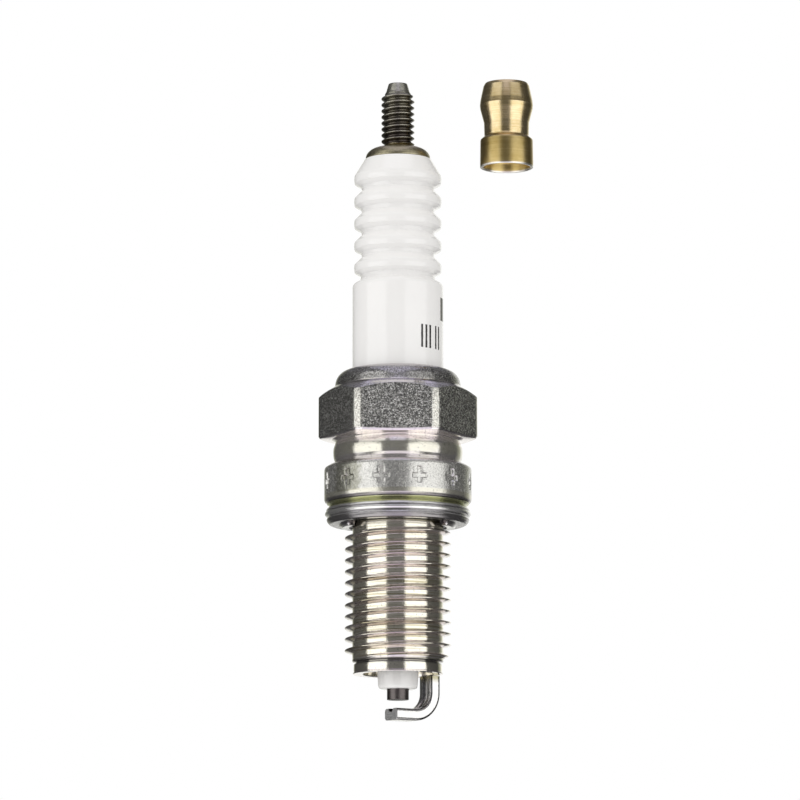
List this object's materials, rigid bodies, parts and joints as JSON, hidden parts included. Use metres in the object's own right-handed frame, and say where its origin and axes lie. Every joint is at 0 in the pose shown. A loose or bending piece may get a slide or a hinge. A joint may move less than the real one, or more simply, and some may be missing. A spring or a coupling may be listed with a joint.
{
  "type": "spark plug",
  "caption": "Spark plug with a threaded steel shell, ribbed ceramic insulator, screw-on terminal nut, folded gasket, resistor train and bent ground electrode.",
  "frame": {"origin": "on the plug's axis, level with the shell's seat face above the gasket", "axes": "+Z along the axis from the electrodes to the terminal; -Y faces the viewer, square to a hexagon flat; +X is the viewer's right"},
  "size_m": [0.0241, 0.0162, 0.0717],
  "materials": {
    "plated_steel": "bright zinc plating with faint yellow-green and violet tints",
    "glazed_alumina": "clear glaze over white alumina",
    "stud_steel": "dark olive-gold passivated steel",
    "nut_brass": "turned brass, satin",
    "dark_nickel": "dark nickel alloy, satin",
    "copper": "plain copper",
    "copper_glass": "fused copper and glass powder",
    "resistor_glass": "fused carbon and glass powder",
    "bright_nickel": "drawn nickel alloy strip, bright",
    "gasket_steel": "folded plated steel sheet",
    "packing_steel": "plain mild steel",
    "talc": "pressed powder"
  },
  "bodies": {
    "plug_body": {"shell": "plated_steel", "insulator": "glazed_alumina", "terminal_stud": "stud_steel", "center_electrode": "dark_nickel", "center_electrode_core": "copper", "lower_glass_seal": "copper_glass", "resistor": "resistor_glass", "upper_glass_seal": "copper_glass", "ground_electrode": "bright_nickel", "seat_packing": "packing_steel", "lower_packing_ring": "packing_steel", "talc_filling": "talc", "upper_packing_ring": "packing_steel"},
    "gasket": {"gasket": "gasket_steel"},
    "terminal_nut": {"terminal_nut": "nut_brass"}
  },
  "joints": [
    {"name": "gasket_spin", "type": "hinge", "parent": "plug_body", "child": "gasket", "pos_m": [0, 0, 0], "axis": [0, 0, 1], "continuous": true},
    {"name": "terminal_nut_carry", "type": "slide", "parent": "plug_body", "child": "terminal_nut", "axis": [-0.6016, 0, 0.7988], "range_m": [0, 0.02028]}
  ]
}
